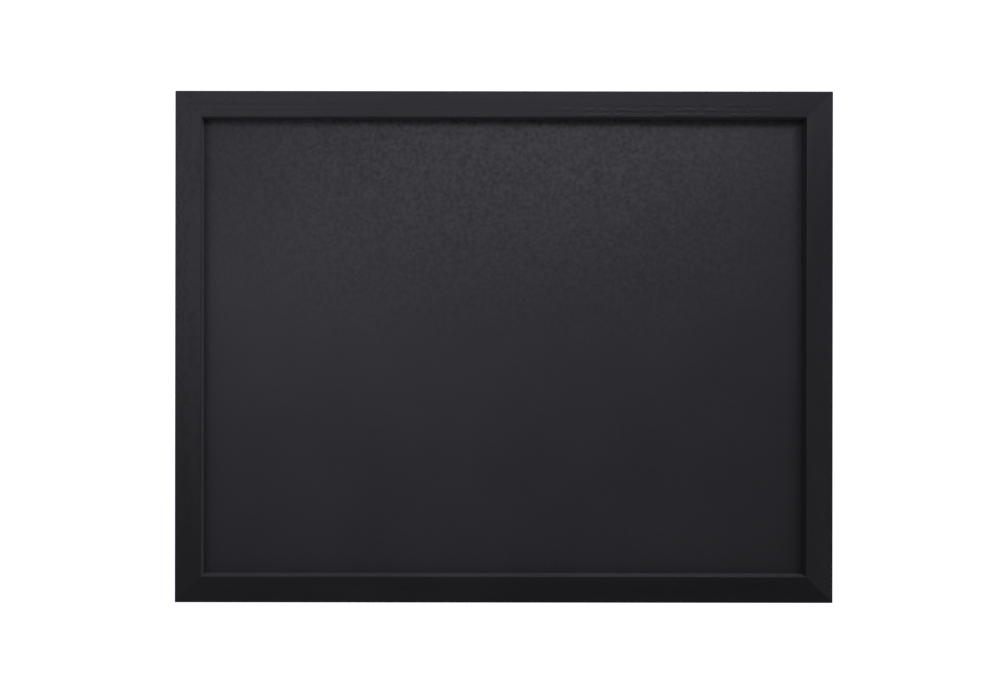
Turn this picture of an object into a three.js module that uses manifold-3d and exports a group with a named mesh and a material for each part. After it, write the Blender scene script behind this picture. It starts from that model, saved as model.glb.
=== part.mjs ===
// Wall chalkboard: a black coated writing panel in a mitred, black lacquered wooden frame.
// Millimetres, +Z up. The front looks towards -Y and the wall is the plane y = 0.
// The origin is on the wall, behind the middle of the board.

import * as THREE from 'three';
import { mergeVertices } from 'three/addons/utils/BufferGeometryUtils.js';
import Module from 'manifold-3d';

const wasm = await Module();
wasm.setup();
const { Manifold, Mesh: SolidMesh } = wasm;

// Board
const boardWidth = 900;
const boardHeight = 700;
const cornerRadius = 2;

// Moulding of the frame, an L-shaped section with a rebate for the panel at the back
const railWidth = 36;
const railDepth = 22;
const rebateWidth = 8;
const rebateDepth = 8;
const outerArris = 1.2;
const innerArris = 1;

// Writing panel
const panelThickness = 4;
const panelPlay = 1;

// Gap left where two pieces touch on the real board, and how far a cut runs past a surface
const seatGap = 0.3;
const cutOverrun = 1;

// V-shaped nails that pull the mitres together, driven in from behind
const nailLeg = 6;
const nailThickness = 0.8;
const nailHeight = 10;
const nailLip = 1;
const nailSink = 0.5;
const nailApexShares = { outer: 0.3, inner: 0.62 };

// Flat steel points that hold the panel against the frame's lip
const pointWidth = 6;
const pointThickness = 0.5;
const pointGrip = 7;
const pointReach = 8;
const pointTip = 3;
const railPointShares = [-0.375, -0.125, 0.125, 0.375];
const stilePointShares = [-0.33, 0, 0.33];

// Hangers: a strap folded round the bar of a D-shaped ring, and one screw
const hangerDropShare = 1 / 3;
const hingeInset = 4;
const strapWidth = 11;
const strapThickness = 1;
const strapLength = 16.5;
const ringWire = 2.5;
const ringCorner = 3;
const ringSide = 2.5;
const ringCut = 0.6;
const screwInset = 8;

// Hanger screw
const screwLength = 14;
const screwDiameter = 3;
const screwTip = 2.5;
const threadPitch = 1.35;
const threadDepth = 0.4;
const plainShank = 2.6;
const headDiameter = 5.8;
const headHeight = 1.8;
const headRim = 0.5;
const crossSpan = 3.2;
const crossWidth = 0.8;
const crossDepth = 1;

// Rubber bumpers that keep the board off the wall
const bumperBase = 12;
const bumperTop = 10.5;
const bumperHeight = 5.7;
const bumperEdge = 0.8;
const bumperInset = 60;

// Facets
const arcSegments = 6;
const bumperSegments = 24;
const screwSegments = 16;
const wireSegments = 10;
const ringSteps = 48;

// Depths that the pieces share, measured from the wall
const backY = -(bumperHeight + seatGap);
const frontY = backY - railDepth;
const shoulderY = backY - rebateDepth;
const panelFrontY = shoulderY + seatGap;
const panelBackY = panelFrontY + panelThickness;
const pointY = panelBackY + seatGap;
const backWidth = railWidth - rebateWidth;
const mitreRelief = seatGap / Math.SQRT2;

// Hanger sizes that follow from the wire and the strap
const wireRadius = ringWire / 2;
const eyeBore = wireRadius + seatGap;
const eyeRadius = eyeBore + strapThickness;
const strapStack = 2 * strapThickness;
const barHalf = strapWidth / 2 + seatGap;
const bowRadius = barHalf + ringCorner;
const bowCentre = ringCorner + ringSide;
const headSeat = strapStack + seatGap;

const materials = {
  lacquer: new THREE.MeshStandardMaterial({ color: '#1b1a1c', roughness: 0.38, flatShading: true }),
  coating: new THREE.MeshStandardMaterial({ color: '#2d2c30', roughness: 0.62, flatShading: true }),
  steel: new THREE.MeshStandardMaterial({
    color: '#b4b6b8', roughness: 0.35, metalness: 1, flatShading: true,
  }),
  rubber: new THREE.MeshStandardMaterial({ color: '#17171a', roughness: 0.85, flatShading: true }),
};

// Solids for cutting and joining

function placed(x, y, z, turn = 0) {
  return new THREE.Matrix4().makeRotationY(turn).setPosition(x, y, z);
}

function solidOf(geometry, placement = new THREE.Matrix4()) {
  const bare = geometry.clone().applyMatrix4(placement);
  bare.deleteAttribute('normal');
  bare.deleteAttribute('uv');
  const merged = mergeVertices(bare);
  const corners = merged.index.array;
  const triangles = [];
  for (let first = 0; first < corners.length; first += 3) {
    const [a, b, c] = corners.subarray(first, first + 3);
    if (a !== b && b !== c && c !== a) {
      triangles.push(a, b, c);
    }
  }
  const vertProperties = Float32Array.from(merged.attributes.position.array);
  const triVerts = Uint32Array.from(triangles);
  return new Manifold(new SolidMesh({ numProp: 3, vertProperties, triVerts }));
}

function geometryOf(solid) {
  const { vertProperties, triVerts } = solid.getMesh();
  const geometry = new THREE.BufferGeometry();
  geometry.setAttribute('position', new THREE.BufferAttribute(vertProperties, 3));
  geometry.setIndex(new THREE.BufferAttribute(triVerts, 1));
  geometry.computeVertexNormals();
  return geometry;
}

function named(name, geometry, material) {
  const mesh = new THREE.Mesh(geometry, material);
  mesh.name = name;
  return mesh;
}

// An outline drawn in x and z, given depth from rearY forward to foreY
function throughDepth(outline, rearY, foreY) {
  const options = { depth: rearY - foreY, bevelEnabled: false, curveSegments: arcSegments };
  const slab = new THREE.ExtrudeGeometry(outline, options);
  slab.rotateX(Math.PI / 2);
  slab.translate(0, rearY, 0);
  return slab;
}

// A section drawn in u and y, with u running inward from the outer edge, drawn out along x
function alongLength(section, length) {
  const options = { depth: length, bevelEnabled: false, curveSegments: arcSegments };
  const bar = new THREE.ExtrudeGeometry(section, options);
  bar.rotateY(Math.PI / 2);
  bar.translate(-length / 2, 0, 0);
  return bar;
}

// Frame members. Each is drawn with x along it, z outward and its outer face at z = 0.

function mouldingSection() {
  const section = new THREE.Shape();
  section.moveTo(0, backY);
  section.lineTo(0, frontY + outerArris);
  section.absarc(outerArris, frontY + outerArris, outerArris, Math.PI, 1.5 * Math.PI, false);
  section.lineTo(railWidth - innerArris, frontY);
  section.absarc(railWidth - innerArris, frontY + innerArris, innerArris, 1.5 * Math.PI, 2 * Math.PI, false);
  section.lineTo(railWidth, shoulderY);
  section.lineTo(backWidth, shoulderY);
  section.lineTo(backWidth, backY);
  return section;
}

function mitredBar(length) {
  const bar = alongLength(mouldingSection(), length);
  const corners = bar.attributes.position;
  for (let i = 0; i < corners.count; i += 1) {
    const reach = length / 2 + corners.getZ(i) - mitreRelief;
    corners.setX(i, Math.sign(corners.getX(i)) * reach);
  }
  return bar;
}

// The two outer corners of a member, eased as they are when the joined frame is sanded
function easedCorners(length) {
  const outline = new THREE.Shape();
  outline.moveTo(-length / 2, -railWidth - cutOverrun);
  outline.lineTo(length / 2, -railWidth - cutOverrun);
  outline.lineTo(length / 2, -cornerRadius);
  outline.absarc(length / 2 - cornerRadius, -cornerRadius, cornerRadius, 0, Math.PI / 2, false);
  outline.absarc(cornerRadius - length / 2, -cornerRadius, cornerRadius, Math.PI / 2, Math.PI, false);
  return throughDepth(outline, backY + cutOverrun, frontY - cutOverrun);
}

// V-nails. The apex is at the origin and the legs run along +x and +z.

function nailOutline(growth) {
  const low = -growth;
  const thick = nailThickness + growth;
  const end = nailLeg + growth;
  const lipStart = nailLeg - nailThickness - growth;
  const lipEnd = -nailLip - growth;
  const outline = new THREE.Shape();
  outline.moveTo(low, low);
  outline.lineTo(lipStart, low);
  outline.lineTo(lipStart, lipEnd);
  outline.lineTo(end, lipEnd);
  outline.lineTo(end, thick);
  outline.lineTo(thick, thick);
  outline.lineTo(thick, end);
  outline.lineTo(lipEnd, end);
  outline.lineTo(lipEnd, lipStart);
  outline.lineTo(low, lipStart);
  return outline;
}

function nailGeometry() {
  return throughDepth(nailOutline(0), 0, -nailHeight);
}

function nailPocket() {
  return throughDepth(nailOutline(seatGap), nailSink + cutOverrun, -nailHeight - seatGap);
}

function nailPockets(length) {
  const ends = [{ side: -1, turn: Math.PI / 2 }, { side: 1, turn: Math.PI }];
  return ends.flatMap(({ side, turn }) => Object.values(nailApexShares).map((share) => {
    const apex = share * backWidth;
    return solidOf(nailPocket(), placed(side * (length / 2 - apex), backY - nailSink, -apex, turn));
  }));
}

// Panel points. The origin is on the rebate's wall, with +z going into the wood.

function pointGeometry() {
  const half = pointWidth / 2;
  const outline = new THREE.Shape();
  outline.moveTo(half, half - pointReach);
  outline.lineTo(half, pointGrip - pointTip);
  outline.lineTo(0, pointGrip);
  outline.lineTo(-half, pointGrip - pointTip);
  outline.lineTo(-half, half - pointReach);
  outline.absarc(0, half - pointReach, half, Math.PI, 2 * Math.PI, false);
  return throughDepth(outline, pointThickness, 0);
}

function pointSlit() {
  const slit = new THREE.BoxGeometry(
    pointWidth + 2 * seatGap,
    pointThickness + 2 * seatGap,
    pointGrip + seatGap + cutOverrun,
  );
  slit.translate(0, pointThickness / 2, (pointGrip + seatGap - cutOverrun) / 2);
  return slit;
}

function pointSlits(length, shares) {
  return shares.map((share) => solidOf(pointSlit(), placed(share * length, pointY, -backWidth)));
}

// Hangers. The hinge runs along x, the strap lies outward of it and the ring inward,
// and y = 0 is the strap's face against the wood.

function strapGeometry() {
  const meeting = Math.asin((eyeRadius - strapStack) / eyeRadius);
  const section = new THREE.Shape();
  section.moveTo(-strapLength, 0);
  section.lineTo(0, 0);
  section.absarc(0, eyeRadius, eyeRadius, -Math.PI / 2, Math.PI + meeting, false);
  section.lineTo(-strapLength, strapStack);
  const bore = new THREE.Path();
  bore.absarc(0, eyeRadius, eyeBore, 0, 2 * Math.PI, true);
  section.holes.push(bore);

  const half = strapWidth / 2;
  const outline = new THREE.Shape();
  outline.moveTo(-half, -eyeRadius - cutOverrun);
  outline.lineTo(half, -eyeRadius - cutOverrun);
  outline.lineTo(half, strapLength - half);
  outline.absarc(0, strapLength - half, half, 0, Math.PI, false);
  const roundEnded = throughDepth(outline, 2 * eyeRadius + cutOverrun, -cutOverrun);

  return geometryOf(
    solidOf(alongLength(section, strapWidth))
      .intersect(solidOf(roundEnded))
      .subtract(screwHole(headSeat + cutOverrun, -cutOverrun, placed(0, 0, screwInset))),
  );
}

function screwHole(topY, endY, placement) {
  const radius = screwDiameter / 2 + seatGap;
  const hole = new THREE.CylinderGeometry(radius, radius, topY - endY, screwSegments);
  hole.translate(0, (topY + endY) / 2, 0);
  return solidOf(hole, placement);
}

class RingPath extends THREE.Curve {
  constructor() {
    super();
    this.outline = new THREE.Path();
    this.outline.moveTo(ringCut / 2, 0);
    this.outline.lineTo(barHalf, 0);
    this.outline.absarc(barHalf, -ringCorner, ringCorner, Math.PI / 2, 0, true);
    this.outline.lineTo(bowRadius, -bowCentre);
    this.outline.absarc(0, -bowCentre, bowRadius, 0, -Math.PI, true);
    this.outline.lineTo(-bowRadius, -ringCorner);
    this.outline.absarc(-barHalf, -ringCorner, ringCorner, Math.PI, Math.PI / 2, true);
    this.outline.lineTo(-ringCut / 2, 0);
  }

  getPoint(share, target = new THREE.Vector3()) {
    const { x, y } = this.outline.getPointAt(share);
    return target.set(x, 0, y);
  }
}

function ringGeometry() {
  const wire = new THREE.Shape();
  wire.absarc(0, 0, wireRadius, 0, 2 * Math.PI, false);
  const options = { extrudePath: new RingPath(), steps: ringSteps, curveSegments: wireSegments };
  return new THREE.ExtrudeGeometry(wire, options);
}

// The screw's head rests on y = 0 and its tip points to -y
function screwGeometry() {
  const radius = screwDiameter / 2;
  const root = radius - threadDepth;
  const threadTop = -plainShank;
  const threadEnd = screwTip - screwLength;
  const turns = Math.floor((threadTop - threadEnd) / threadPitch);
  const profile = new THREE.Path();
  profile.moveTo(0, -screwLength);
  for (let turn = 0; turn < turns; turn += 1) {
    profile.lineTo(root, threadEnd + turn * threadPitch);
    profile.lineTo(radius, threadEnd + (turn + 0.5) * threadPitch);
  }
  profile.lineTo(root, threadEnd + turns * threadPitch);
  profile.lineTo(root, 0);
  profile.lineTo(headDiameter / 2, 0);
  profile.lineTo(headDiameter / 2, headRim);
  profile.absellipse(0, headRim, headDiameter / 2, headHeight - headRim, 0, Math.PI / 2, false);
  let screw = solidOf(new THREE.LatheGeometry(profile.getPoints(arcSegments / 2), screwSegments));
  for (const turn of [0, Math.PI / 2]) {
    const slot = new THREE.BoxGeometry(crossSpan, crossDepth + cutOverrun, crossWidth);
    const middle = headHeight + (cutOverrun - crossDepth) / 2;
    screw = screw.subtract(solidOf(slot, placed(0, middle, 0, turn)));
  }
  return geometryOf(screw);
}

function hanger(name) {
  const group = new THREE.Group();
  const strap = named(`${name}_hanger_strap`, strapGeometry(), materials.steel);
  const ring = named(`${name}_hanger_ring`, ringGeometry(), materials.steel);
  ring.position.y = eyeRadius;
  const screw = named(`${name}_hanger_screw`, screwGeometry(), materials.steel);
  screw.position.set(0, headSeat, screwInset);
  group.add(strap, ring, screw);
  return group;
}

// Bumpers. The base is at y = 0 and the flat end at y = bumperHeight.

function bumperGeometry() {
  const profile = new THREE.Path();
  profile.moveTo(0, 0);
  profile.lineTo(bumperBase / 2, 0);
  profile.lineTo(bumperTop / 2, bumperHeight - bumperEdge);
  profile.absarc(bumperTop / 2 - bumperEdge, bumperHeight - bumperEdge, bumperEdge, 0, Math.PI / 2, false);
  profile.lineTo(0, bumperHeight);
  return new THREE.LatheGeometry(profile.getPoints(arcSegments / 2), bumperSegments);
}

// Assembly

const board = new THREE.Group();

// Each member's turn takes its outward side to the top, right, bottom or left,
// and ends names what lies towards its own -x and +x.
const quarterTurn = Math.PI / 2;
const members = [
  { name: 'top', kind: 'rail', turn: 0, ends: ['left', 'right'] },
  { name: 'right', kind: 'stile', turn: quarterTurn, ends: ['top', 'bottom'] },
  { name: 'bottom', kind: 'rail', turn: 2 * quarterTurn, ends: ['right', 'left'] },
  { name: 'left', kind: 'stile', turn: -quarterTurn, ends: ['bottom', 'top'] },
];

function frameSide({ name, kind, turn, ends }) {
  const isRail = kind === 'rail';
  const length = isRail ? boardWidth : boardHeight;
  const across = isRail ? boardHeight : boardWidth;
  const pointShares = isRail ? railPointShares : stilePointShares;
  const side = new THREE.Group();
  side.rotation.y = turn;
  side.position.set(Math.sin(turn) * across / 2, 0, Math.cos(turn) * across / 2);

  const cuts = [...nailPockets(length), ...pointSlits(length, pointShares)];
  if (isRail) {
    for (const [index, end] of ends.entries()) {
      const bumper = named(`${name}_${end}_bumper`, bumperGeometry(), materials.rubber);
      const along = (2 * index - 1) * (length / 2 - bumperInset);
      bumper.position.set(along, backY + seatGap, -backWidth / 2);
      side.add(bumper);
    }
  } else {
    const height = length / 2 - hangerDropShare * length;
    const along = ends[1] === 'top' ? height : -height;
    const hinge = hingeInset - backWidth;
    const fitting = hanger(name);
    fitting.position.set(along, backY + seatGap, hinge);
    side.add(fitting);
    const tipY = backY + seatGap + headSeat - screwLength;
    cuts.push(screwHole(backY + cutOverrun, tipY - seatGap, placed(along, 0, hinge + screwInset)));
  }

  const wood = solidOf(mitredBar(length)).intersect(solidOf(easedCorners(length)));
  const cutWood = cuts.reduce((rest, cut) => rest.subtract(cut), wood);
  side.add(named(`${name}_${kind}`, geometryOf(cutWood), materials.lacquer));

  for (const [index, share] of pointShares.entries()) {
    const point = named(`${name}_${kind}_point_${index + 1}`, pointGeometry(), materials.steel);
    point.position.set(share * length, pointY, -backWidth);
    side.add(point);
  }
  return side;
}

for (const member of members) {
  board.add(frameSide(member));
}

// Writing panel
const panelWidth = boardWidth - 2 * (backWidth + panelPlay);
const panelHeight = boardHeight - 2 * (backWidth + panelPlay);
const panelGeometry = new THREE.BoxGeometry(panelWidth, panelThickness, panelHeight);
const panel = named('writing_panel', panelGeometry, materials.coating);
panel.position.y = (panelFrontY + panelBackY) / 2;
board.add(panel);

// Two V-nails across each mitre. The turn points their legs into the frame.
const corners = [
  { name: 'top_left', side: -1, level: 1, turn: quarterTurn },
  { name: 'top_right', side: 1, level: 1, turn: 2 * quarterTurn },
  { name: 'bottom_right', side: 1, level: -1, turn: -quarterTurn },
  { name: 'bottom_left', side: -1, level: -1, turn: 0 },
];
for (const { name, side, level, turn } of corners) {
  for (const [place, share] of Object.entries(nailApexShares)) {
    const apex = share * backWidth;
    const nail = named(`${name}_v_nail_${place}`, nailGeometry(), materials.steel);
    nail.position.set(side * (boardWidth / 2 - apex), backY - nailSink, level * (boardHeight / 2 - apex));
    nail.rotation.y = turn;
    board.add(nail);
  }
}

export default board;
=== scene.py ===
"""Wall chalkboard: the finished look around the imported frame.

Metres, in the part's own frame: the front looks towards -Y, the wall is the plane y = 0, +Z is up.
"""

import math

import bmesh
import bpy
from mathutils import Matrix, Vector


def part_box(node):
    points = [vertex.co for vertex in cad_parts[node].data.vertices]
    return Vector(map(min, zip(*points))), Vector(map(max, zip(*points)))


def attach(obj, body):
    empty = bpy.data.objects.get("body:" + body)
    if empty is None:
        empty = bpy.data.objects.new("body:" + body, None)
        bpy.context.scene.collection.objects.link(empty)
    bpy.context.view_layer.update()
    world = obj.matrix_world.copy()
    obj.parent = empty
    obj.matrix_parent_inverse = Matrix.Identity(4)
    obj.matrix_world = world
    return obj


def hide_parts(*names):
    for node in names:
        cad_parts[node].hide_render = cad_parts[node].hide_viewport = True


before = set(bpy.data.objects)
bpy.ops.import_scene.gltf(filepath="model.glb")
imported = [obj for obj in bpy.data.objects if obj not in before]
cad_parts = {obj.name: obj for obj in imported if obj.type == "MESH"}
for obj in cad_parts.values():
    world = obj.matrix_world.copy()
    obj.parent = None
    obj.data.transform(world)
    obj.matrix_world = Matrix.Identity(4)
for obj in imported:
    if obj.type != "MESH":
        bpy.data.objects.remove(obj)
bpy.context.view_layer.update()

MM = 0.001
BOARD_BODY = "board"
BOARD_MIDDLE = Vector((0, 0, 0))
CORNERS = ("top_left", "top_right", "bottom_left", "bottom_right")

# The way along x from each side to the middle
INWARD = {"left": 1, "right": -1}

# Sizes read from the frame
TOP_LOW, TOP_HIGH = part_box("top_rail")
PANEL_LOW, PANEL_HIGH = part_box("writing_panel")
BOARD_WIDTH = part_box("right_stile")[1].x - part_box("left_stile")[0].x
BOARD_HEIGHT = TOP_HIGH.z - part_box("bottom_rail")[0].z
RAIL_WIDTH = TOP_HIGH.z - TOP_LOW.z
FRONT_Y = TOP_LOW.y
BACK_Y = TOP_HIGH.y

# Sizes of the moulding, the same as the solids have
SEAT_GAP = 0.3 * MM
PANEL_PLAY = 1 * MM
CORNER_RADIUS = 2 * MM
OUTER_ARRIS = 1.2 * MM
INNER_ARRIS = 1 * MM
SHOULDER_Y = PANEL_LOW.y - SEAT_GAP
BACK_WIDTH = BOARD_WIDTH / 2 - PANEL_HIGH.x - PANEL_PLAY

# The width of the flat beside each arris, and how far from the lip's inner wall a point counts as on it
FLAT_MARGIN = 0.3 * MM
WALL_REACH = 0.05 * MM

# Cuts in the wood
CUT_OVERRUN = 1 * MM
CUT_EASE = 0.12 * MM
NAIL_THICKNESS = 0.8 * MM
NAIL_LIP = 1 * MM
PILOT_RADIUS = 1.6 * MM

# Panel. A face looks to the front where its normal's y is below FRONT_FACING
PANEL_EDGE = 0.4 * MM
FRONT_FACING = -0.5

# Hangers
STRAP_THICKNESS = 1 * MM
STRAP_SEAM = 0.06 * MM
STRAP_EDGE = 0.18 * MM
RING_RADIUS = 1.25 * MM
RING_CORNER = 3 * MM
RING_CUT = 0.6 * MM
HEAD_EDGE = 0.35 * MM
HEAD_RIM = 0.5 * MM
HEAD_HEIGHT = 1.8 * MM
CROSS_SPAN = 3.2 * MM
CROSS_WIDTH = 0.8 * MM
CROSS_DEPTH = 1.1 * MM
THREAD_PITCH = 1.35 * MM
THREAD_DEPTH = 0.4 * MM
SHANK_RADIUS = 1.5 * MM
PLAIN_SHANK = 2.6 * MM
SCREW_TIP = 2.5 * MM

# Bumpers. The share is the top's radius over the base's
BUMPER_EDGE = 0.8 * MM
BUMPER_FOOT = 0.35 * MM
BUMPER_TOP_SHARE = 10.5 / 12

# Facets
ARC_STEPS = 10
SMALL_ARC_STEPS = 4
TURN_STEPS = 64
WIRE_SIDES = 24
EDGE_SEGMENTS = 2
SHARP_DEGREES = 35
WELD_DISTANCE = 0.001 * MM

# The sticks of the frame: name, quarter turns about Y from the top rail, the grain's shift in metres,
# the tone from dark to light, which is painted light and shade for each side, and the share of painted
# light on the lip's inner wall
MEMBERS = (
    ("top_rail", 0, (0.30, 0.060, -0.345), 0.27, 0.57),
    ("right_stile", 1, (2.1, 0.055, -0.45), 0.86, 0.04),
    ("bottom_rail", 2, (3.4, 0.065, -0.34), 0.09, 0.64),
    ("left_stile", -1, (5.2, 0.060, -0.425), 0.36, 1.0),
)

# In the materials a scale is that of a noise or a wave, as one number or as one for each axis, a span is
# the pair of values between which something rises from none to full, and a relief is a height in metres
NOISE_SPAN = (0.3, 0.7)

# Lacquered wood. Its scales and places run along, through and across the stick
LACQUER_DARK = (0.0190, 0.0186, 0.0197)
LACQUER_LIGHT = (0.0480, 0.0471, 0.0495)
# Painted light on the lip's inner walls, where the light falls on them
LACQUER_PAINTED_LIGHT = (0.260, 0.255, 0.268)
LACQUER_RUBBED = (0.075, 0.064, 0.055)
LACQUER_ROUGHNESS = (0.36, 0.46)
LACQUER_ROUGH_SPAN = (0.3, 1.0)
WANDER_SCALE, WANDER_REACH = (7, 40, 40), 4 * MM
RIPPLE_SCALE, RIPPLE_REACH = (72, 60, 60), 3 * MM
RING_SCALE, RING_RELIEF = 78, 0.26 * MM
FIGURE_START, FIGURE_END, FIGURE_FADE = 0.37, 0.66, 0.05
FIGURE_ACROSS = (-0.010, -0.016)
FIGURE_FAINT = 0.06
DASH_SCALE, DASH_SPAN, DASH_FAINT = (95, 160, 160), (0.40, 0.62), 0.1
PORE_SCALE, PORE_SPAN, PORE_DEPTH = (160, 2600, 2600), (0.52, 0.72), 0.10 * MM
PORE_RING_SPAN = (0.2, 0.8)
PORE_ROUGHENING = 0.5
FILM_SCALE, FILM_RELIEF = (300, 500, 500), 0.012 * MM
SHADE_SCALE, SHADE_REACH = (8, 60, 60), 0.1
# How the painted light on the lip's inner walls varies along the stick
PAINTED_LIGHT_SPAN, PAINTED_LIGHT_RANGE = (0.2, 0.7), (0.8, 1.0)
RUB_SCALE, RUB_SPAN = (220, 500, 500), (0.63, 0.72)

# Writing coat. It is most dimpled and spotted above the middle and away from the sides, where the light
# glances off it
COAT_DARK = (0.0607, 0.0596, 0.0625)
COAT_LIGHT = (0.0706, 0.0693, 0.0726)
COAT_GRIT_GLINT = (0.100, 0.098, 0.103)
COAT_PIT_SHADE = (0.031, 0.030, 0.032)
COAT_ROUGHNESS = (0.48, 0.58)
COAT_CLOUD_SCALE = 7.0
DIMPLE_SCALE, DIMPLE_RELIEF = 205.0, 0.50 * MM
SPECK_SCALE, SPECK_RELIEF, SPECK_SPAN = 420.0, 0.12 * MM, (0.25, 0.75)
TOOTH_SCALE, TOOTH_RELIEF = 1900.0, 0.012 * MM
# Lighter and darker spots: grit and pits, with painted glints and painted shade
SPOT_SCALE, GRIT_GLINT_SPAN, PIT_SHADE_SPAN = 165.0, (0.5, 0.8), (0.5, 0.2)
# Where the light glances off the coat, above the middle and away from the sides
GLINT_AREA_UP, GLINT_AREA_FAINT = (0.0, 0.24), 0.1
GLINT_AREA_LEFT, GLINT_AREA_RIGHT, GLINT_AREA_EDGE = -0.18, 0.20, 0.2

# Fibreboard
FIBRE_DARK, FIBRE_LIGHT = (0.19, 0.108, 0.052), (0.30, 0.180, 0.095)
FIBRE_FLECK, FIBRE_FADED = (0.09, 0.047, 0.022), (0.34, 0.215, 0.120)
FIBRE_ROUGHNESS = (0.62, 0.82)
FIBRE_SCALE, FIBRE_RELIEF = (900, 900, 500), 0.05 * MM
FLECK_SCALE, FLECK_SPAN = 420.0, (0.62, 0.75)
FADED_SCALE, FADED_SPAN, FADED_RANGE = 9.0, (0.35, 0.75), (0.0, 0.35)
SCREEN_SCALE, SCREEN_WARP, SCREEN_WARP_SCALE, SCREEN_RELIEF = 260.0, 0.6, 8.0, 0.12 * MM

# Zinc
ZINC_DARK, ZINC_LIGHT = (0.50, 0.51, 0.52), (0.68, 0.68, 0.66)
ZINC_ROUGHNESS, ZINC_ROUGH_SPAN = (0.24, 0.46), (0.6, 1.4)
ZINC_CLOUD_SCALE = 350.0
SCUFF_SCALE, SCUFF_RELIEF = (500, 4000, 9000), 0.008 * MM

# Rubber
RUBBER_BLACK, RUBBER_DUSTY = (0.012, 0.012, 0.013), (0.045, 0.043, 0.041)
RUBBER_ROUGHNESS = (0.68, 0.86)
RUBBER_SCALE, RUBBER_RELIEF = 3200.0, 0.03 * MM
DUST_SCALE, DUST_SPAN = 380.0, (0.45, 0.8)

# Floor
FLOOR_DARK, FLOOR_LIGHT = (0.80, 0.80, 0.79), (0.86, 0.86, 0.85)
FLOOR_SCALE = 3.0
FLOOR_ROUGHNESS = 0.7
FLOOR_GLOW = 0.42
FLOOR_DROP = 1.15
FLOOR_SIDE = 3.6
FLOOR_FRONT, FLOOR_BACK = -3.2, 1.5

# The photograph's frame, and where the board and the camera's axis lie in it, in pixels
PHOTO_WIDTH, PHOTO_HEIGHT = 1000, 690
BOARD_LEFT_PX, BOARD_RIGHT_PX = 174.9, 833.2
BOARD_TOP_PX, BOARD_BOTTOM_PX = 90.9, 602.8
AXIS_X_PX, AXIS_Y_PX = 424, 295
LENS_MM = 27.5
SENSOR_MM = 36
CAMERA_ROLL_DEGREES = -0.07

# Soft boxes: name, width and height in metres, place and watts. Each faces the board's middle. The last
# four stand behind the board's plane, so they light only its back and its sides
SOFT_BOXES = (
    ("key", 1.0, 1.0, (1.00, -3.00, 2.20), 5.79),
    ("right_top", 0.6, 0.6, (1.10, -1.10, 1.20), 2.26),
    ("right_high", 0.5, 0.5, (0.60, -0.80, 0.75), 0.20),
    ("middle_high", 0.6, 0.6, (0.20, -1.10, 0.90), 1.08),
    ("front", 1.6, 1.6, (-0.30, -1.90, 0.00), 1.04),
    ("left_top", 0.6, 0.6, (-0.40, -1.10, 0.90), 1.04),
    ("left_high", 0.9, 0.9, (-0.90, -1.10, 0.50), 1.03),
    ("left", 0.8, 0.8, (-0.70, -1.10, 0.10), 0.86),
    ("back_key", 0.9, 0.7, (0.45, 1.25, 0.60), 20.0),
    ("back_fill", 0.9, 0.9, (-0.90, 1.20, 0.10), 7.0),
    ("right_side", 0.6, 0.6, (2.00, 0.50, 0.40), 9.0),
    ("left_side", 0.6, 0.6, (-2.00, 0.50, 0.40), 6.0),
)
LIGHT_TINT = (0.89, 0.87, 1.0)

# The background's strength: what it lights the board with, and how bright the camera sees it
WORLD_LIGHT = 0.111
WORLD_SEEN = 1.25


# Meshes

def link(name, data):
    made = bpy.data.objects.new(name, data)
    bpy.context.scene.collection.objects.link(made)
    return made


def mesh_piece(name, vertices, faces):
    mesh = bpy.data.meshes.new(name)
    mesh.from_pydata([tuple(v) for v in vertices], [], faces)
    work = bmesh.new()
    work.from_mesh(mesh)
    bmesh.ops.remove_doubles(work, verts=work.verts, dist=WELD_DISTANCE)
    bmesh.ops.recalc_face_normals(work, faces=work.faces)
    work.to_mesh(mesh)
    work.free()
    return link(name, mesh)


def arc(centre, radius, start, end, steps):
    """Points on an arc in a plane, from start to end in degrees."""
    a, b = centre
    turns = [math.radians(start + (end - start) * i / steps) for i in range(steps + 1)]
    return [(a + radius * math.cos(t), b + radius * math.sin(t)) for t in turns]


def prism(name, outline, point, start, end):
    """An outline carried from start to end. point(a, b, t) places the outline's point at depth t."""
    count = len(outline)
    vertices = [point(a, b, t) for t in (start, end) for a, b in outline]
    faces = [list(range(count)), list(range(count, 2 * count))]
    faces += [[i, (i + 1) % count, count + (i + 1) % count, count + i] for i in range(count)]
    return mesh_piece(name, vertices, faces)


def box_between(name, low, high):
    outline = [(low.x, low.z), (high.x, low.z), (high.x, high.z), (low.x, high.z)]
    return prism(name, outline, lambda a, b, y: Vector((a, y, b)), high.y, low.y)


def axis_of(node):
    """Where the axis of a round node meets the wall."""
    low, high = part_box(node)
    centre = (low + high) / 2
    return Vector((centre.x, 0, centre.z))


def lathe(name, profile, place):
    """A profile of (radius, height) pairs, from axis to axis, turned about +Y at a place."""
    vertices, rings = [], []
    for radius, height in profile:
        sides = 1 if radius == 0 else TURN_STEPS
        rings.append(range(len(vertices), len(vertices) + sides))
        for i in range(sides):
            turn = 2 * math.pi * i / TURN_STEPS
            vertices.append(place + Vector((radius * math.cos(turn), height, radius * math.sin(turn))))
    faces = []
    for low, high in zip(rings, rings[1:]):
        for i in range(TURN_STEPS):
            j = (i + 1) % TURN_STEPS
            corners = [low[i % len(low)], low[j % len(low)], high[j % len(high)], high[i % len(high)]]
            faces.append(list(dict.fromkeys(corners)))
    return mesh_piece(name, vertices, faces)


def settle(piece):
    """Turn a piece's modifiers into its mesh."""
    graph = bpy.context.evaluated_depsgraph_get()
    old = piece.data
    made = bpy.data.meshes.new_from_object(piece.evaluated_get(graph))
    piece.modifiers.clear()
    piece.data = made
    bpy.data.meshes.remove(old)


def cut(piece, tool, operation):
    """Cut or trim a piece with a tool, and remove the tool."""
    modifier = piece.modifiers.new("cut", "BOOLEAN")
    modifier.operation = operation
    modifier.solver = "EXACT"
    modifier.object = tool
    settle(piece)
    bpy.data.objects.remove(tool)


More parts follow.
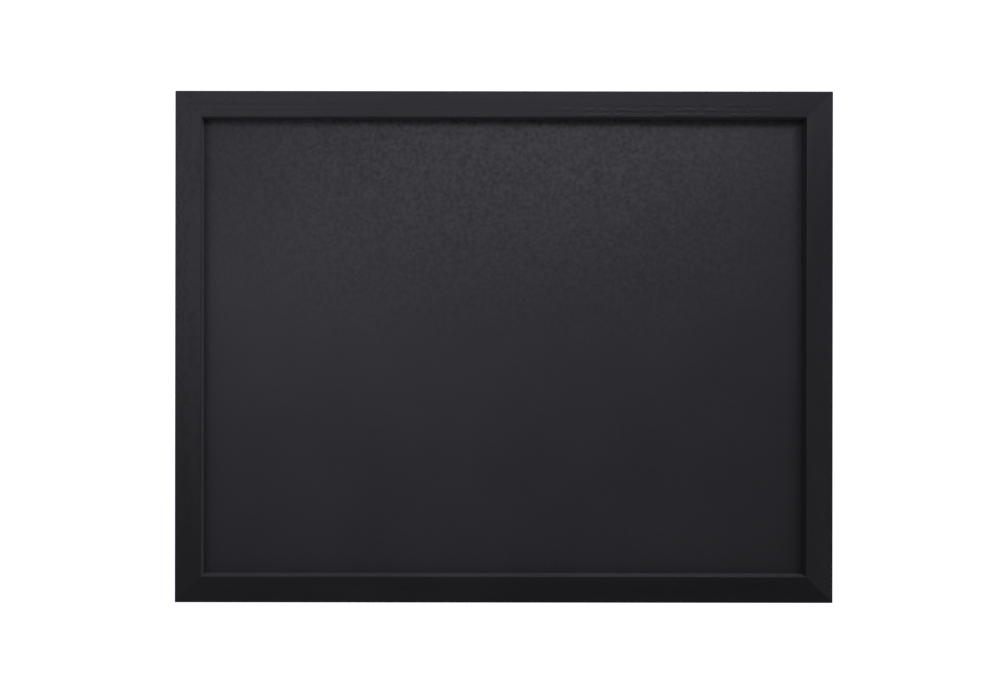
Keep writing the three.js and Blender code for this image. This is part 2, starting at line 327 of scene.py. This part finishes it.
def joined(name, pieces):
    """One mesh of several closed ones."""
    work = bmesh.new()
    for piece in pieces:
        work.from_mesh(piece.data)
        bpy.data.objects.remove(piece)
    mesh = bpy.data.meshes.new(name)
    work.to_mesh(mesh)
    work.free()
    return link(name, mesh)


def rounded(piece, width):
    """Ease a piece's sharp edges."""
    modifier = piece.modifiers.new("edges", "BEVEL")
    modifier.width = width
    modifier.segments = EDGE_SEGMENTS
    modifier.limit_method = "ANGLE"
    modifier.angle_limit = math.radians(SHARP_DEGREES)
    settle(piece)


def smooth(piece):
    """Shade a piece smooth, but for its sharp edges."""
    for face in piece.data.polygons:
        face.use_smooth = True
    piece.data.set_sharp_from_angle(angle=math.radians(SHARP_DEGREES))


def finished(piece, body, material, node):
    """Give a piece its finish and its body, in place of the solid that it stands for."""
    piece.data.materials.clear()
    piece.data.materials.append(material)
    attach(piece, body)
    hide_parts(node)


# Materials

class Shader:
    """A material's nodes, with a short call for each kind."""

    def __init__(self, name):
        self.material = bpy.data.materials.new(name)
        self.material.use_nodes = True
        self.tree = self.material.node_tree
        self.surface = self.tree.nodes["Principled BSDF"]

    def put(self, socket, value):
        if isinstance(value, bpy.types.NodeSocket):
            self.tree.links.new(value, socket)
        else:
            socket.default_value = value

    def add(self, kind, values, **settings):
        made = self.tree.nodes.new(kind)
        for key, setting in settings.items():
            setattr(made, key, setting)
        for key, value in values.items():
            self.put(made.inputs[key], value)
        return made

    def finish(self, **values):
        """Set the surface's sockets, each named with _ for its spaces, and give the material."""
        for key, value in values.items():
            self.put(self.surface.inputs[key.replace("_", " ")], value)
        return self.material

    def metres(self):
        return self.tree.nodes.new("ShaderNodeTexCoord").outputs["Object"]

    def attribute(self, name, output="Fac"):
        return self.add("ShaderNodeAttribute", {}, attribute_name=name).outputs[output]

    def part(self, vector, axis):
        return self.add("ShaderNodeSeparateXYZ", {"Vector": vector}).outputs[axis]

    def shifted(self, vector, distance):
        """A vector moved across the grain, by a distance in metres."""
        offset = self.add("ShaderNodeCombineXYZ", {"Y": distance, "Z": distance}).outputs["Vector"]
        moved = self.add("ShaderNodeVectorMath", {0: vector, 1: offset}, operation="ADD")
        return moved.outputs["Vector"]

    def noise(self, vector, scale, detail=2.0, roughness=0.5):
        """Noise of one scale, or of one for each axis."""
        if isinstance(scale, tuple):
            stretched = self.add("ShaderNodeMapping", {"Vector": vector, "Scale": scale})
            vector, scale = stretched.outputs["Vector"], 1.0
        values = {"Vector": vector, "Scale": scale, "Detail": detail, "Roughness": roughness}
        return self.add("ShaderNodeTexNoise", values).outputs["Fac"]

    def ranged(self, value, span, result=(0.0, 1.0)):
        """A value taken from a span to the range of the result, and held within it."""
        values = {
            "Value": value,
            "From Min": span[0], "From Max": span[1], "To Min": result[0], "To Max": result[1],
        }
        return self.add("ShaderNodeMapRange", values).outputs["Result"]

    def math(self, operation, first, second):
        return self.add("ShaderNodeMath", {0: first, 1: second}, operation=operation).outputs["Value"]

    def blend(self, factor, first, second):
        """Two colours, each a socket or red, green and blue, mixed by a factor."""
        made = self.add("ShaderNodeMix", {"Factor": factor}, data_type="RGBA")
        sockets = [s for s in made.inputs if s.type == "RGBA"]
        for socket, colour in zip(sockets, (first, second)):
            self.put(socket, (*colour, 1) if isinstance(colour, tuple) else colour)
        return next(s for s in made.outputs if s.type == "RGBA")

    def bump(self, height, distance, strength=1.0, normal=None):
        values = {"Height": height, "Distance": distance, "Strength": strength}
        if normal is not None:
            values["Normal"] = normal
        return self.add("ShaderNodeBump", values).outputs["Normal"]


def lacquered_wood():
    """Black lacquer over open grained wood. The grain attribute runs x along each stick of the frame."""
    shader = Shader("black_lacquered_wood")
    grain = shader.attribute("grain", "Vector")

    wander = shader.noise(grain, WANDER_SCALE)
    ripple = shader.noise(grain, RIPPLE_SCALE, detail=1)
    wander = shader.ranged(wander, (0, 1), (-WANDER_REACH, WANDER_REACH))
    ripple = shader.ranged(ripple, (0, 1), (-RIPPLE_REACH, RIPPLE_REACH))
    swayed = shader.shifted(grain, shader.math("ADD", wander, ripple))
    rings = shader.add(
        "ShaderNodeTexWave", {"Vector": swayed, "Scale": RING_SCALE},
        wave_type="RINGS", rings_direction="X", wave_profile="SIN",
    ).outputs["Fac"]

    # The rings stand out on one stretch of the top rail's inner half, broken into dashes
    along = shader.part(grain, "X")
    faint = (FIGURE_FAINT, 1.0)
    figure = shader.math(
        "MINIMUM",
        shader.ranged(along, (FIGURE_START - FIGURE_FADE, FIGURE_START + FIGURE_FADE), faint),
        shader.ranged(along, (FIGURE_END + FIGURE_FADE, FIGURE_END - FIGURE_FADE), faint),
    )
    inner = shader.ranged(shader.part(grain, "Z"), FIGURE_ACROSS, faint)
    figure = shader.math("MULTIPLY", figure, inner)
    dashes = shader.noise(grain, DASH_SCALE, detail=1)
    figure = shader.math("MULTIPLY", figure, shader.ranged(dashes, DASH_SPAN, (DASH_FAINT, 1.0)))

    pores = shader.ranged(shader.noise(grain, PORE_SCALE), PORE_SPAN)
    pits = shader.math("MULTIPLY", pores, shader.ranged(rings, PORE_RING_SPAN))
    relief = shader.bump(shader.math("MULTIPLY", rings, figure), RING_RELIEF)
    relief = shader.bump(pits, -PORE_DEPTH, normal=relief)
    relief = shader.bump(shader.noise(grain, FILM_SCALE), FILM_RELIEF, normal=relief)

    shade = shader.noise(grain, SHADE_SCALE, detail=3)
    uneven = shader.ranged(shade, NOISE_SPAN, (-SHADE_REACH, SHADE_REACH))
    # Each stick's tone is painted light and shade set for its side, made uneven by the shade noise
    tone = shader.math("ADD", shader.attribute("tone"), uneven)
    colour = shader.blend(tone, LACQUER_DARK, LACQUER_LIGHT)
    # Painted light on the lip's inner walls
    painted_light_share = shader.ranged(shade, PAINTED_LIGHT_SPAN, PAINTED_LIGHT_RANGE)
    colour = shader.blend(shader.math("MULTIPLY", shader.attribute("lip"), painted_light_share), colour, LACQUER_PAINTED_LIGHT)
    rubs = shader.ranged(shader.noise(grain, RUB_SCALE, detail=3, roughness=0.6), RUB_SPAN)
    rubs = shader.math("MULTIPLY", rubs, shader.attribute("arris"))
    colour = shader.blend(rubs, colour, LACQUER_RUBBED)

    rough = shader.math("ADD", shade, shader.math("MULTIPLY", pits, PORE_ROUGHENING))
    rough = shader.ranged(rough, LACQUER_ROUGH_SPAN, LACQUER_ROUGHNESS)
    return shader.finish(Base_Color=colour, Roughness=rough, Normal=relief)


def chalk_coating():
    """The matt writing coat, dimpled by the roller and speckled with lighter and darker spots, partly grit
    and pits and partly painted glints and painted shade, strongest where the light glances off it.
    """
    shader = Shader("chalk_coating")
    place = shader.metres()
    across = shader.part(place, "X")
    # Where the light glances off the coat: above the middle and away from the sides
    height = shader.ranged(shader.part(place, "Z"), GLINT_AREA_UP, (GLINT_AREA_FAINT, 1.0))
    left = shader.ranged(across, (-BOARD_WIDTH / 2, GLINT_AREA_LEFT), (GLINT_AREA_EDGE, 1.0))
    right = shader.ranged(across, (BOARD_WIDTH / 2, GLINT_AREA_RIGHT), (GLINT_AREA_EDGE, 1.0))
    glint_area = shader.math("MULTIPLY", height, shader.math("MINIMUM", left, right))

    dimples = shader.noise(place, DIMPLE_SCALE, detail=0.8)
    specks = shader.noise(place, SPECK_SCALE, detail=1.0)
    relief = shader.bump(dimples, DIMPLE_RELIEF, glint_area)
    relief = shader.bump(specks, SPECK_RELIEF, glint_area, normal=relief)
    relief = shader.bump(shader.noise(place, TOOTH_SCALE), TOOTH_RELIEF, normal=relief)

    clouds = shader.noise(place, COAT_CLOUD_SCALE, detail=4, roughness=0.6)
    colour = shader.blend(shader.ranged(clouds, NOISE_SPAN), COAT_DARK, COAT_LIGHT)
    # Lighter and darker spots, grit and pits with painted glints and painted shade, strongest where the
    # light glances
    spots = shader.noise(place, SPOT_SCALE, detail=1.0)
    for span, tone in ((GRIT_GLINT_SPAN, COAT_GRIT_GLINT), (PIT_SHADE_SPAN, COAT_PIT_SHADE)):
        spotted = shader.math("MULTIPLY", shader.ranged(spots, span), glint_area)
        colour = shader.blend(spotted, colour, tone)
    rough = shader.ranged(specks, SPECK_SPAN, COAT_ROUGHNESS)
    return shader.finish(Base_Color=colour, Roughness=rough, Normal=relief)


def fibreboard():
    """The bare back of the panel: pressed brown fibres with the weave of the press screen."""
    shader = Shader("brown_fibreboard")
    place = shader.metres()
    fibres = shader.noise(place, FIBRE_SCALE, detail=4, roughness=0.7)
    woven = {
        "Vector": place, "Scale": SCREEN_SCALE,
        "Distortion": SCREEN_WARP, "Detail Scale": SCREEN_WARP_SCALE,
    }
    threads = [
        shader.add("ShaderNodeTexWave", woven, wave_type="BANDS", bands_direction=axis, wave_profile="SIN")
        for axis in ("X", "Z")
    ]
    screen = shader.math("MULTIPLY", *(thread.outputs["Fac"] for thread in threads))
    relief = shader.bump(screen, SCREEN_RELIEF)
    relief = shader.bump(fibres, FIBRE_RELIEF, normal=relief)

    flecks = shader.noise(place, FLECK_SCALE, detail=3, roughness=0.6)
    faded = shader.noise(place, FADED_SCALE, detail=4)
    brown = shader.blend(shader.ranged(fibres, NOISE_SPAN), FIBRE_DARK, FIBRE_LIGHT)
    brown = shader.blend(shader.ranged(flecks, FLECK_SPAN), brown, FIBRE_FLECK)
    brown = shader.blend(shader.ranged(faded, FADED_SPAN, FADED_RANGE), brown, FIBRE_FADED)
    rough = shader.ranged(fibres, NOISE_SPAN, FIBRE_ROUGHNESS)
    return shader.finish(Base_Color=brown, Roughness=rough, Normal=relief)


def zinc():
    """Bright zinc on steel: a little cloudy, with fine scuffs."""
    shader = Shader("zinc_plated_steel")
    place = shader.metres()
    clouds = shader.noise(place, ZINC_CLOUD_SCALE, detail=4, roughness=0.6)
    scuffs = shader.noise(place, SCUFF_SCALE, detail=3, roughness=0.7)
    colour = shader.blend(shader.ranged(clouds, NOISE_SPAN), ZINC_DARK, ZINC_LIGHT)
    rough = shader.ranged(shader.math("ADD", clouds, scuffs), ZINC_ROUGH_SPAN, ZINC_ROUGHNESS)
    relief = shader.bump(scuffs, SCUFF_RELIEF)
    return shader.finish(Base_Color=colour, Metallic=1.0, Roughness=rough, Normal=relief)


def rubber():
    """Matt black rubber with a moulded grain and a little dust."""
    shader = Shader("matt_rubber")
    place = shader.metres()
    grain = shader.noise(place, RUBBER_SCALE, detail=3)
    dust = shader.noise(place, DUST_SCALE, detail=4, roughness=0.7)
    colour = shader.blend(shader.ranged(dust, DUST_SPAN), RUBBER_BLACK, RUBBER_DUSTY)
    rough = shader.ranged(grain, NOISE_SPAN, RUBBER_ROUGHNESS)
    relief = shader.bump(grain, RUBBER_RELIEF)
    return shader.finish(Base_Color=colour, Roughness=rough, Normal=relief)


def pale_floor():
    """A plain floor that gives off a little light, so that it is pale in every view."""
    shader = Shader("pale_floor")
    shade = shader.noise(shader.metres(), FLOOR_SCALE, detail=3)
    return shader.finish(
        Base_Color=shader.blend(shade, FLOOR_DARK, FLOOR_LIGHT), Roughness=FLOOR_ROUGHNESS,
        Emission_Color=(1, 1, 1, 1), Emission_Strength=FLOOR_GLOW,
    )


# The frame's four members

def moulding_section():
    """The section as (inward, y) points, with a narrow flat beside each arris to keep the faces flat."""
    front_outer = FRONT_Y + OUTER_ARRIS
    front_inner = FRONT_Y + INNER_ARRIS
    return [
        (0, BACK_Y),
        (0, front_outer + FLAT_MARGIN),
        *arc((OUTER_ARRIS, front_outer), OUTER_ARRIS, 180, 270, ARC_STEPS),
        (OUTER_ARRIS + FLAT_MARGIN, FRONT_Y),
        (RAIL_WIDTH - INNER_ARRIS - FLAT_MARGIN, FRONT_Y),
        *arc((RAIL_WIDTH - INNER_ARRIS, front_inner), INNER_ARRIS, 270, 360, ARC_STEPS),
        (RAIL_WIDTH, front_inner + FLAT_MARGIN),
        (RAIL_WIDTH, SHOULDER_Y),
        (BACK_WIDTH, SHOULDER_Y),
        (BACK_WIDTH, BACK_Y),
    ]


def nail_slot(nail):
    """A slot that hugs a V-nail, open at the back. The V points to the board's corner, and its two ends
    turn out by NAIL_LIP."""
    low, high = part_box(nail)
    outer = Vector((max(low.x, high.x, key=abs), 0, max(low.z, high.z, key=abs)))
    inner = Vector((min(low.x, high.x, key=abs), 0, min(low.z, high.z, key=abs)))
    step_x = math.copysign(1, outer.x - inner.x)
    step_z = math.copysign(1, outer.z - inner.z)
    span = abs(outer.x - inner.x)

    def point(a, b, y):
        return Vector((outer.x - step_x * a, y, outer.z - step_z * b))

    near, thick = NAIL_LIP - CUT_EASE, NAIL_LIP + NAIL_THICKNESS + CUT_EASE
    far, turn = span + CUT_EASE, span - NAIL_THICKNESS - CUT_EASE
    edge = -CUT_EASE
    outline = [
        (near, near), (turn, near), (turn, edge), (far, edge), (far, thick),
        (thick, thick), (thick, far), (edge, far), (edge, turn), (near, turn),
    ]
    return prism("slot", outline, point, high.y + CUT_OVERRUN, low.y - CUT_EASE)


def point_slit(panel_point):
    low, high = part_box(panel_point)
    ease = Vector((CUT_EASE, CUT_EASE, CUT_EASE))
    return box_between("slit", low - ease, high + ease)


def pilot_hole(screw_node):
    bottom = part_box(screw_node)[0].y - CUT_EASE
    mouth = BACK_Y + CUT_OVERRUN
    profile = [(0, bottom), (PILOT_RADIUS, bottom), (PILOT_RADIUS, mouth), (0, mouth)]
    return lathe("hole", profile, axis_of(screw_node))


def rounded_slab():
    """The board's outline with its eased corners, deeper than the frame."""
    x, z = BOARD_WIDTH / 2 - CORNER_RADIUS, BOARD_HEIGHT / 2 - CORNER_RADIUS
    outline = [
        *arc((x, z), CORNER_RADIUS, 0, 90, ARC_STEPS),
        *arc((-x, z), CORNER_RADIUS, 90, 180, ARC_STEPS),
        *arc((-x, -z), CORNER_RADIUS, 180, 270, ARC_STEPS),
        *arc((x, -z), CORNER_RADIUS, 270, 360, ARC_STEPS),
    ]
    back, front = BACK_Y + CUT_OVERRUN, FRONT_Y - CUT_OVERRUN
    return prism("slab", outline, lambda a, b, y: Vector((a, y, b)), back, front)


def grained(piece, turn, across, shift, tone, painted_wall_light):
    """Store what the lacquer needs at each point: where it lies in its own stick of wood, with x along
    the stick, y through it and z across it, whether it is on a rounded arris, how much painted light
    lies on the lip's inner wall, and the stick's tone, a painted light and shade set for its side."""
    to_stick = Matrix.Rotation(-turn, 4, "Y")
    stored = piece.data.attributes
    stored.new("grain", "FLOAT_VECTOR", "POINT")
    stored.new("arris", "FLOAT", "POINT")
    stored.new("lip", "FLOAT", "POINT")
    stored.new("tone", "FLOAT", "POINT")
    values = (stored[name].data for name in ("grain", "arris", "lip", "tone"))
    for vertex, place, edge, wall, shade in zip(piece.data.vertices, *values):
        local = to_stick @ vertex.co
        place.vector = local + shift
        outward, inward = across / 2 - local.z, local.z - (across / 2 - RAIL_WIDTH)
        on_outer = outward < OUTER_ARRIS and local.y < FRONT_Y + OUTER_ARRIS
        on_inner = inward < INNER_ARRIS and local.y < FRONT_Y + INNER_ARRIS
        edge.value = 1.0 if on_outer or on_inner else 0.0
        # Painted light on the lip's inner wall
        wall.value = painted_wall_light if inward < WALL_REACH else 0.0
        shade.value = tone


def frame_member(wood, name, quarters, shift, tone, painted_wall_light):
    """A mitred stick, drawn as if it were the top rail and turned to its place."""
    side, kind = name.split("_")
    upright = kind == "stile"
    length, across = (BOARD_HEIGHT, BOARD_WIDTH) if upright else (BOARD_WIDTH, BOARD_HEIGHT)
    turn = quarters * math.pi / 2
    place = Matrix.Rotation(turn, 4, "Y") @ Matrix.Translation((0, 0, across / 2))

    def point(inward, y, end):
        return place @ Vector((end * (length / 2 - inward), y, -inward))

    member = prism(f"{name}_wood", moulding_section(), point, -1, 1)
    ends = [corner for corner in CORNERS if side in corner.split("_")]
    tools = [nail_slot(f"{corner}_v_nail_{which}") for corner in ends for which in ("outer", "inner")]
    tools += [point_slit(node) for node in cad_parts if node.startswith(f"{name}_point_")]
    if upright:
        tools.append(pilot_hole(f"{side}_hanger_screw"))
    cut(member, rounded_slab(), "INTERSECT")
    cut(member, joined("tools", tools), "DIFFERENCE")
    smooth(member)
    grained(member, turn, across, Vector(shift), tone, painted_wall_light)
    finished(member, BOARD_BODY, wood, name)


def build_frame():
    wood = lacquered_wood()
    for member in MEMBERS:
        frame_member(wood, *member)


# Writing panel

def build_panel():
    panel = box_between("coated_panel", PANEL_LOW, PANEL_HIGH)
    rounded(panel, PANEL_EDGE)
    smooth(panel)
    finished(panel, BOARD_BODY, fibreboard(), "writing_panel")
    panel.data.materials.append(chalk_coating())
    for face in panel.data.polygons:
        face.material_index = 1 if face.normal.y < FRONT_FACING else 0


# Hangers

def strap(side, metal):
    """A steel strip folded round the ring's bar, with its two layers pressed together."""
    node = f"{side}_hanger_strap"
    low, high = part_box(node)
    inward = INWARD[side]
    bore = RING_RADIUS + SEAT_GAP
    eye = bore + STRAP_THICKNESS
    hinge = (high.x if inward > 0 else low.x) - inward * eye
    half_width = (high.z - low.z) / 2
    length = high.x - low.x - eye
    middle = (low.z + high.z) / 2

    # How far past level the eye's outer and inner faces turn before they meet the upper layer
    outer_meet = math.degrees(math.asin((eye - 2 * STRAP_THICKNESS) / eye))
    inner_meet = math.degrees(math.asin((bore - STRAP_SEAM) / bore))
    section = [
        (-length, 0),
        *arc((0, eye), eye, -90, 180 + outer_meet, 3 * ARC_STEPS),
        (-length, 2 * STRAP_THICKNESS),
        (-length, STRAP_THICKNESS + STRAP_SEAM),
        *arc((0, eye), bore, 180 + inner_meet, -90, 3 * ARC_STEPS),
        (-length, STRAP_THICKNESS),
    ]

    def across(a, b, z):
        return Vector((hinge + inward * a, low.y + b, z))

    piece = prism(f"{side}_strap", section, across, low.z, high.z)
    outline = [
        (eye + CUT_OVERRUN, -half_width),
        (eye + CUT_OVERRUN, half_width),
        *arc((half_width - length, 0), half_width, 90, 270, 2 * ARC_STEPS),
    ]

    def through(a, b, y):
        return Vector((hinge + inward * a, y, middle + b))

    ends = prism("ends", outline, through, low.y - CUT_OVERRUN, high.y + CUT_OVERRUN)
    cut(piece, ends, "INTERSECT")
    bottom, radius = low.y - CUT_OVERRUN, SHANK_RADIUS + SEAT_GAP
    hole = [(0, bottom), (radius, bottom), (radius, high.y), (0, high.y)]
    cut(piece, lathe("hole", hole, axis_of(f"{side}_hanger_screw")), "DIFFERENCE")
    rounded(piece, STRAP_EDGE)
    smooth(piece)
    finished(piece, BOARD_BODY, metal, node)


def ring(side, metal):
    """A D-shaped ring of bent wire, cut through in the middle of its straight bar."""
    node = f"{side}_hanger_ring"
    low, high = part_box(node)
    inward = INWARD[side]
    hinge = (low.x if inward > 0 else high.x) + inward * RING_RADIUS
    middle = (low + high) / 2
    bow = (high.z - low.z) / 2 - RING_RADIUS
    bar = bow - RING_CORNER
    bow_start = high.x - low.x - 2 * RING_RADIUS - bow
    route = [
        (0, RING_CUT / 2),
        *arc((RING_CORNER, bar), RING_CORNER, 180, 90, ARC_STEPS),
        *arc((bow_start, 0), bow, 90, -90, 4 * ARC_STEPS),
        *arc((RING_CORNER, -bar), RING_CORNER, -90, -180, ARC_STEPS),
        (0, -RING_CUT / 2),
    ]
    points = [Vector((hinge + inward * a, middle.y, middle.z + b)) for a, b in route]
    vertices = []
    for i, point in enumerate(points):
        before, after = points[max(i - 1, 0)], points[min(i + 1, len(points) - 1)]
        sideways = (after - before).normalized().cross(Vector((0, 1, 0)))
        for k in range(WIRE_SIDES):
            turn = 2 * math.pi * k / WIRE_SIDES
            spoke = sideways * math.cos(turn) + Vector((0, math.sin(turn), 0))
            vertices.append(point + RING_RADIUS * spoke)
    faces = [list(range(WIRE_SIDES)), list(range(len(vertices) - WIRE_SIDES, len(vertices)))]
    for i in range(len(points) - 1):
        for k in range(WIRE_SIDES):
            a, b = i * WIRE_SIDES + k, i * WIRE_SIDES + (k + 1) % WIRE_SIDES
            faces.append([a, b, b + WIRE_SIDES, a + WIRE_SIDES])
    piece = mesh_piece(f"{side}_ring", vertices, faces)
    smooth(piece)
    finished(piece, f"{side}_swing_ring", metal, node)


def screw(side, metal):
    """A pan head wood screw with a cross recess and ridges for its thread."""
    node = f"{side}_hanger_screw"
    low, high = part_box(node)
    axis = axis_of(node)
    head = (high.x - low.x) / 2
    seat = high.y - HEAD_HEIGHT
    root = SHANK_RADIUS - THREAD_DEPTH
    thread_end = low.y + SCREW_TIP
    turns = int((seat - PLAIN_SHANK - thread_end) / THREAD_PITCH)
    profile = [(0, low.y)]
    for turn in range(turns):
        foot = thread_end + turn * THREAD_PITCH
        profile += [(root, foot), (SHANK_RADIUS, foot + THREAD_PITCH / 2)]
    profile += [(root, thread_end + turns * THREAD_PITCH), (root, seat), (head - HEAD_EDGE, seat)]
    profile += arc((head - HEAD_EDGE, seat + HEAD_EDGE), HEAD_EDGE, -90, 0, SMALL_ARC_STEPS)
    dome = HEAD_HEIGHT - HEAD_RIM
    for i in range(1, ARC_STEPS):
        turn = math.pi / 2 * i / ARC_STEPS
        profile.append((head * math.cos(turn), seat + HEAD_RIM + dome * math.sin(turn)))
    profile.append((0, high.y))
    piece = lathe(f"{side}_screw", profile, axis)
    for span_x, span_z in ((CROSS_SPAN, CROSS_WIDTH), (CROSS_WIDTH, CROSS_SPAN)):
        half = Vector((span_x / 2, 0, span_z / 2))
        floor = Vector((axis.x, high.y - CROSS_DEPTH, axis.z))
        roof = Vector((axis.x, high.y + CUT_OVERRUN, axis.z))
        cut(piece, box_between("cross", floor - half, roof + half), "DIFFERENCE")
    smooth(piece)
    finished(piece, BOARD_BODY, metal, node)


def build_hangers(metal):
    for side in INWARD:
        strap(side, metal)
        ring(side, metal)
        screw(side, metal)


# Bumpers

def build_bumpers():
    skin = rubber()
    for corner in CORNERS:
        node = f"{corner}_bumper"
        low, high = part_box(node)
        base = (high.x - low.x) / 2
        top = base * BUMPER_TOP_SHARE
        profile = [
            (0, low.y),
            *arc((base - BUMPER_FOOT, low.y + BUMPER_FOOT), BUMPER_FOOT, -90, 0, SMALL_ARC_STEPS),
            *arc((top - BUMPER_EDGE, high.y - BUMPER_EDGE), BUMPER_EDGE, 0, 90, ARC_STEPS),
            (0, high.y),
        ]
        piece = lathe(f"{corner}_pad", profile, axis_of(node))
        smooth(piece)
        finished(piece, BOARD_BODY, skin, node)


def finish_small_steel(metal):
    """The V-nails and panel points keep their solids and take the steel's finish."""
    for name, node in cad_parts.items():
        if "_v_nail_" in name or "_point_" in name:
            node.data.materials.clear()
            node.data.materials.append(metal)


# Studio

def build_camera():
    """The camera stands in front of the point where its axis meets the board in the photograph."""
    metres_per_px = BOARD_WIDTH / (BOARD_RIGHT_PX - BOARD_LEFT_PX)
    centre_x_px = (BOARD_LEFT_PX + BOARD_RIGHT_PX) / 2
    centre_y_px = (BOARD_TOP_PX + BOARD_BOTTOM_PX) / 2
    distance = PHOTO_WIDTH * metres_per_px * LENS_MM / SENSOR_MM
    data = bpy.data.cameras.new("camera")
    data.lens = LENS_MM
    data.sensor_width = SENSOR_MM
    data.shift_x = (PHOTO_WIDTH / 2 - AXIS_X_PX) / PHOTO_WIDTH
    data.shift_y = (AXIS_Y_PX - PHOTO_HEIGHT / 2) / PHOTO_WIDTH
    camera = link("camera", data)
    camera.location = (
        (AXIS_X_PX - centre_x_px) * metres_per_px,
        FRONT_Y - distance,
        (centre_y_px - AXIS_Y_PX) * metres_per_px,
    )
    camera.rotation_euler = (math.pi / 2, math.radians(CAMERA_ROLL_DEGREES), 0)
    bpy.context.scene.camera = camera


def build_lights():
    for name, width, height, place, watts in SOFT_BOXES:
        data = bpy.data.lights.new(name, "AREA")
        data.shape = "RECTANGLE"
        data.size, data.size_y = width, height
        data.energy = watts
        data.color = LIGHT_TINT
        light = link(name, data)
        light.location = place
        light.rotation_euler = (BOARD_MIDDLE - Vector(place)).to_track_quat("-Z", "Y").to_euler()
        light.visible_camera = False


def build_world():
    """A white background behind a dim, even room light."""
    world = bpy.data.worlds.new("studio")
    world.use_nodes = True
    tree = world.node_tree
    background = tree.nodes["Background"]
    background.inputs["Color"].default_value = (*LIGHT_TINT, 1)
    path = tree.nodes.new("ShaderNodeLightPath")
    level = tree.nodes.new("ShaderNodeMapRange")
    level.inputs["To Min"].default_value = WORLD_LIGHT
    level.inputs["To Max"].default_value = WORLD_SEEN
    tree.links.new(path.outputs["Is Camera Ray"], level.inputs["Value"])
    tree.links.new(level.outputs["Result"], background.inputs["Strength"])
    bpy.context.scene.world = world
    bpy.context.scene.view_settings.view_transform = "Standard"


def build_floor():
    """The floor takes the light but throws none back at the board."""
    x, z = FLOOR_SIDE, -BOARD_HEIGHT / 2 - FLOOR_DROP
    corners = [(-x, FLOOR_FRONT, z), (x, FLOOR_FRONT, z), (x, FLOOR_BACK, z), (-x, FLOOR_BACK, z)]
    floor = mesh_piece("floor", corners, [[0, 1, 2, 3]])
    floor.data.materials.append(pale_floor())
    floor.visible_diffuse = False
    floor.visible_glossy = False


build_camera()
build_lights()
build_world()
build_floor()
steel = zinc()
build_frame()
build_panel()
build_hangers(steel)
build_bumpers()
finish_small_steel(steel)
